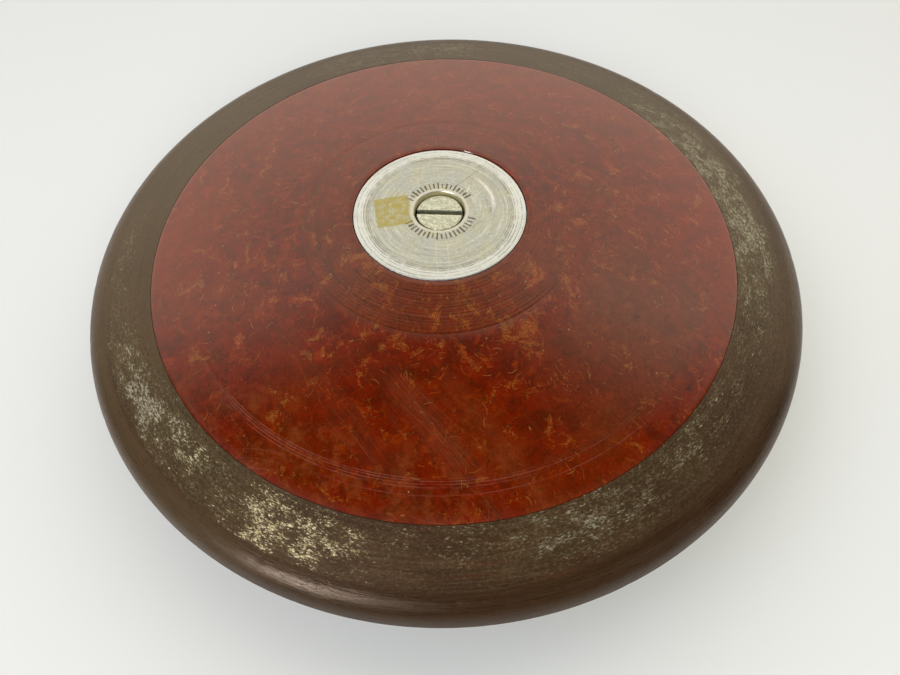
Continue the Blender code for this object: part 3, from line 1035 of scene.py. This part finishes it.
def plate_metal(name, upper):
    """Turned aluminium alloy, tarnished warm, with a brighter outer band, a painted reflection on the
    counterbore's wall and painted shade in its depths.
    """
    f = Finish(name)
    shift = 0.0 if upper else 4.0
    cloud = f.noise(f.place, 0.15, 3.0, 0.6, 0.5)
    f.colour = f.mix(f.step(cloud, 0.35, 0.68), (0.465, 0.49, 0.475), (0.50, 0.51, 0.42))
    band = f.step(f.radius, 21.6, 22.6)
    f.coat((0.78, 0.83, 0.86), band, 0.7)
    rings = f.ringwise(0.012, 1.5, shift, 3.0, 0.75)
    f.coat((0.74, 0.77, 0.76), f.step(rings, 0.52, 0.70), 0.6)
    f.coat((0.27, 0.28, 0.24), f.step(rings, 0.48, 0.30), 0.6)
    grain = f.noise(f.place, 1.7, 4.0, 0.75)
    f.coat((0.76, 0.80, 0.78), f.step(grain, 0.54, 0.70), 0.6)
    f.coat((0.24, 0.25, 0.20), f.step(grain, 0.46, 0.32), 0.55)
    fray = f.step(f.ringwise(0.10, 0.4, shift + 2, 2.0), 0.32, 0.60)
    for radius, depth in PLATE_GROOVES:
        f.coat((0.22, 0.21, 0.17), f.near(f.radius, radius, 0.05, 0.17), fray, depth)
    collar = f.near(f.radius, 8.25, 0.25, 0.35)
    f.coat((0.76, 0.73, 0.62), collar, 0.5)
    if upper:
        depth = f.math("SUBTRACT", 2 * HALF_THICKNESS / MM, f.z)
    else:
        depth = f.z
    stamped = f.times(f.step(depth, 0.03, 0.10), f.step(f.radius, 12.0, 11.5), f.step(f.radius, 8.3, 8.6))
    f.coat((0.12, 0.095, 0.050), stamped, 0.85)
    # Painted reflection: the counterbore's wall turned light golden-beige and made less metallic,
    # standing in for the bright reflection of its worn metal.
    painted_well_reflection = f.times(f.step(f.radius, 8.0, 7.9), f.step(depth, 0.05, 0.4))
    f.coat((0.40, 0.34, 0.15), painted_well_reflection, 0.9)
    # Painted shade: everything deeper than about 1.3 to 2.8 mm under the top turned dark brown, as the
    # counterbore's floor round the head.
    f.coat((0.13, 0.095, 0.040), f.step(depth, 1.3, 2.8))
    rough = f.ramp(f.step(rings, 0.3, 0.7), 0.10, 0.36)
    shine = f.ramp(painted_well_reflection, -0.6, 0.9)
    if upper:
        rough, shine = upper_plate_marks(f, rough, shine)
    height = f.ramp(rings, 0.8, f.times(grain, 0.8))
    normal = f.bump(height, 0.22)
    return f.finish(Roughness=rough, Metallic=shine, Normal=normal)


def upper_plate_marks(f, rough, shine):
    """Old tape residue on the left and a pale scuff on the right of the upper plate."""
    along, across = f.aligned(8, -13.8, 0.4)
    ragged = f.ramp(f.math("SUBTRACT", f.noise(f.place, 1.0, 3.0, 0.6), 0.5), 1.6, along)
    uneven = f.ramp(f.math("SUBTRACT", f.noise(f.place, 1.3, 3.0, 0.6), 0.5), 1.6, across)
    patch = f.times(f.near(ragged, 0.0, 4.9, 0.5), f.near(uneven, 0.0, 5.4, 0.5))
    patch = f.times(patch, f.step(f.radius, 8.9, 9.3))
    worn = f.step(f.noise(f.place, 0.55, 4.0, 0.7), 0.62, 0.42)
    sides = f.step(f.math("ABSOLUTE", ragged), 3.2, 4.6)
    edging = f.most(sides, f.step(f.math("ABSOLUTE", uneven), 3.6, 5.0))
    residue = f.times(patch, f.ramp(f.most(worn, f.times(edging, 0.8)), 0.50, 0.36))
    f.coat((0.41, 0.33, 0.055), residue)

    bow = f.length(f.math("SUBTRACT", f.x, 1.2), f.math("SUBTRACT", f.y, 1.6))
    right_end = f.times(f.step(f.y, -4.0, 3.0), f.step(f.y, 18.0, 12.0), f.step(f.x, 0.0, 8.0))
    halo = f.times(f.near(bow, 14.6, 0.8, 2.6), right_end)
    streaky = f.ringwise(0.3, 1.4, 6.0, 3.0, 0.7)
    crescent_ends = f.times(f.step(f.x, 7.0, 11.0), f.step(f.y, -1.6, 2.6), f.step(f.y, 14.2, 9.0))
    crescent = f.times(f.near(bow, 14.9, 0.1, 0.75), crescent_ends, f.step(streaky, 0.25, 0.6))
    f.coat((0.40, 0.38, 0.41), halo, f.step(streaky, 0.3, 0.7), 0.45)
    f.coat((0.88, 0.86, 0.88), crescent, 0.85)
    dark = f.most(
        f.scratch((4.6, 9.0), (12.9, 16.2), 0.14),
        f.times(f.scratch((11.0, 13.4), (9.2, 9.0), 0.12), 0.7),
        f.times(f.scratch((15.2, 0.6), (14.9, -1.8), 0.25), 0.8),
    )
    pale = f.most(
        f.scratch((9.6, 9.8), (8.2, 6.4), 0.16),
        f.scratch((10.8, 5.2), (12.6, 6.6), 0.12),
        f.times(f.scratch((-1.5, -11.5), (-1.2, -24.0), 0.12), 0.5),
        f.times(f.scratch((1.8, -12.5), (2.2, -21.0), 0.10), 0.5),
    )
    f.coat((0.20, 0.19, 0.20), dark, 0.55)
    f.coat((0.86, 0.85, 0.82), pale, 0.6)
    shine = f.ramp(residue, -0.55, shine)
    rough = f.ramp(residue, 0.15, rough)
    return rough, shine


def screw_metal(name):
    """Dull grey-green plating over a rough blank, with painted shade low in the slot and under the head.
    """
    f = Finish(name)
    blot = f.noise(f.place, 0.9, 4.0, 0.65)
    f.colour = f.mix(f.step(blot, 0.35, 0.62), (0.50, 0.52, 0.42), (0.76, 0.79, 0.64))
    pits = f.noise(f.place, 2.4, 4.0, 0.75)
    f.coat((0.25, 0.26, 0.19), f.step(pits, 0.50, 0.36), 0.75)
    f.coat((0.90, 0.92, 0.80), f.step(pits, 0.56, 0.70), 0.6)
    # Painted shade: the slot's floor, the lower side of the head and the shank turned dark, by depth
    # under either screw's top.
    away = f.most(f.math("SUBTRACT", 2 * HALF_THICKNESS / MM, f.z), 0.0)
    painted_deep_shade = f.step(f.math("MINIMUM", away, f.most(f.z, 0.0)), 1.15, 1.9)
    f.coat((0.10, 0.10, 0.05), painted_deep_shade, 0.8)
    rough = f.ramp(blot, 0.2, 0.38)
    normal = f.bump(f.ramp(pits, 0.8, blot), 0.5)
    return f.finish(Roughness=rough, Metallic=0.8, Normal=normal)


def bright_steel(name):
    """Plain turned steel with a little rust, for the hidden hardware."""
    f = Finish(name)
    rings = f.ringwise(0.03, 3.0, 0.0, 2.0, 0.6)
    f.colour = f.mix(f.step(rings, 0.3, 0.7), (0.42, 0.40, 0.36), (0.62, 0.60, 0.56))
    rust = f.step(f.noise(f.place, 0.5, 4.0, 0.6), 0.6, 0.72)
    f.coat((0.20, 0.09, 0.04), rust, 0.5)
    rough = f.ramp(rust, 0.3, 0.32)
    return f.finish(Roughness=rough, Metallic=0.9, Normal=f.bump(rings, 0.15))


def spacer_wood(name):
    """Turned hardwood with a fine straight grain."""
    f = Finish(name)
    along = f.times(f.x, 0.12)
    fibres = f.join(along, f.times(f.y, 1.4), f.times(f.z, 1.4))
    grain = f.noise(fibres, 1.0, 4.0, 0.6, 0.4)
    f.colour = f.mix(f.step(grain, 0.3, 0.7), (0.30, 0.17, 0.08), (0.55, 0.37, 0.20))
    return f.finish(Roughness=0.7, Normal=f.bump(grain, 0.3))


def packing_felt(name):
    """Pressed grey felt."""
    f = Finish(name)
    fuzz = f.noise(f.place, 2.4, 5.0, 0.75, 0.8)
    f.colour = f.mix(fuzz, (0.07, 0.065, 0.06), (0.30, 0.28, 0.25))
    return f.finish(Roughness=0.95, Normal=f.bump(fuzz, 0.8, 0.3 * MM))


# ---- the discus ----

WASHER_HOLE = 4.3 * MM
STACK_HOLE = 7.6 * MM
SLEEVE_HOLE = 4.2 * MM
WORN_EASE = 0.4 * MM


def make_discus():
    steel = bright_steel("bright_steel_finish")
    screw = screw_metal("screw_finish")
    felt = packing_felt("packing_felt_finish")
    make_rim(patinated_steel("rim_steel_finish", 0.0))
    for half, shift, worn_at in (("upper", 0.0, 262), ("lower", 9.0, 50)):
        make_side(half, red_composition(f"{half}_composition_finish", shift, worn_at))
        make_plate(half, plate_metal(f"{half}_plate_finish", half == "upper"))
        make_screw(half, screw)
        washer = (f"{half}_flat_washer", f"{half}_screw_washer", f"{half}_washer")
        make_ring(*washer, WASHER_HOLE, "bright_steel", steel)
        packing = (f"{half}_felt_ring", f"{half}_packing_ring", "root")
        make_ring(*packing, STACK_HOLE, "packing_felt", felt, WORN_EASE)
    for number in range(1, 5):
        trim = (f"trim_ring_{number}", f"trim_weight_{number}", "root")
        make_ring(*trim, STACK_HOLE, "bright_steel", steel)
    make_ring("sleeve_tube", "centre_sleeve", "root", SLEEVE_HOLE, "bright_steel", steel, WORN_EASE)
    wood = spacer_wood("spacer_wood_finish")
    make_ring("spacer_bush", "core_spacer", "root", STACK_HOLE, "spacer_wood", wood, WORN_EASE)
    for number in range(1, 7):
        make_dowel(number, steel)


# ---- camera, floor and light ----

CAMERA_PLACE = Vector((0.0, -0.1353, 0.1935))
CAMERA_PITCH = 1.0004
CAMERA_YAW = -0.0205
CAMERA_ROLL = -0.056
CAMERA_LENS = 26.83
CAMERA_SHIFT = (0.0150, -0.0142)


def make_camera():
    """A wide lens close over the near edge, looking down at the middle of the disc."""
    data = bpy.data.cameras.new("camera")
    data.sensor_width = 36.0
    data.lens = CAMERA_LENS
    data.shift_x, data.shift_y = CAMERA_SHIFT
    data.clip_start = 0.01
    yaw = Matrix.Rotation(-CAMERA_YAW, 4, "Z")
    pitch = Matrix.Rotation(math.pi / 2 - CAMERA_PITCH, 4, "X")
    roll = Matrix.Rotation(CAMERA_ROLL, 4, "Z")
    camera = add_object("camera", data)
    camera.matrix_world = Matrix.Translation(CAMERA_PLACE) @ yaw @ pitch @ roll
    bpy.context.scene.camera = camera


FLOOR_COLOUR = (0.80, 0.82, 0.84)


def make_floor():
    mesh = shaped("floor", bmesh.ops.create_grid, x_segments=1, y_segments=1, size=3.0)
    paint = Finish("floor_paint")
    paint.colour = FLOOR_COLOUR
    mesh.materials.append(paint.finish(Roughness=0.6, Specular_IOR_Level=0.2))
    add_object("floor", mesh)


# Lamps that face the middle of the disc: name, azimuth, elevation, distance, size, power, colour.
SOFTBOXES = (
    ("overhead_softbox", 270, 80, 1.6, 2.0, 0.5, (0.80, 1.00, 1.15)),
    ("front_softbox", 275, 38, 1.6, 1.4, 19.5, (1.03, 1.00, 0.89)),
    ("left_softbox", 200, 42, 1.6, 1.4, 6.0, (0.91, 1.00, 1.26)),
    ("right_softbox", 345, 42, 1.6, 1.4, 1.4, (0.80, 1.00, 0.88)),
    ("back_fill", 90, 50, 0.42, 0.25, 0.09, (0.80, 1.00, 1.50)),
)
HIGHLIGHTS = (
    ("side_lamp", 231, 40, 1.5, 0.32, 19.0, (1.0, 0.95, 0.96)),
    ("right_lamp", 320, 34, 1.5, 0.15, 1.2, (1.0, 0.95, 0.90)),
)
ROOM_COLOUR = (1.12, 1.02, 0.84)
BACKDROP_COLOUR = (0.80, 0.81, 0.80)


def make_lamp(name, azimuth, elevation, distance, size, power, colour, shows):
    """A round lamp; it either lights the disc or shows in it as a highlight."""
    data = bpy.data.lights.new(name, "AREA")
    data.shape = "DISK"
    data.size = size
    data.energy = power
    data.color = colour
    lamp = add_object(name, data)
    turn, rise = math.radians(azimuth), math.radians(elevation)
    place = Vector((math.cos(turn) * math.cos(rise), math.sin(turn) * math.cos(rise), math.sin(rise)))
    lamp.location = place * distance
    lamp.rotation_euler = place.to_track_quat("Z", "Y").to_euler()
    lamp.visible_glossy = shows
    lamp.visible_diffuse = not shows


def make_surroundings():
    """A bright room beyond the disc and a dark one behind the viewer, as the varnish mirrors them."""
    world = bpy.data.worlds.new("room")
    bpy.context.scene.world = world
    world.use_nodes = True
    n = Nodes(world.node_tree)
    room = n.tree.nodes["Background"]
    x, y, _ = n.split(n.add("TexCoord").outputs["Generated"])
    beyond = n.ramp(n.step(n.ramp(x, 0.05, y), 0.065, 0.445), 0.99, 0.01)
    sides = n.ramp(n.times(x, x), 0.75, 1.08)
    n.fill(room, Color=ROOM_COLOUR, Strength=n.times(beyond, sides))
    backdrop = n.add("Background")
    n.fill(backdrop, Color=BACKDROP_COLOUR)
    choice = n.add("MixShader")
    n.feed(choice.inputs[0], n.add("LightPath").outputs["Is Camera Ray"])
    n.feed(choice.inputs[1], room.outputs[0])
    n.feed(choice.inputs[2], backdrop.outputs[0])
    n.fill(n.tree.nodes["World Output"], Surface=choice.outputs[0])


def make_light():
    make_surroundings()
    for lamp in SOFTBOXES:
        make_lamp(*lamp, shows=False)
    for lamp in HIGHLIGHTS:
        make_lamp(*lamp, shows=True)


make_discus()
make_camera()
make_floor()
make_light()
bpy.context.scene.view_settings.view_transform = "Standard"
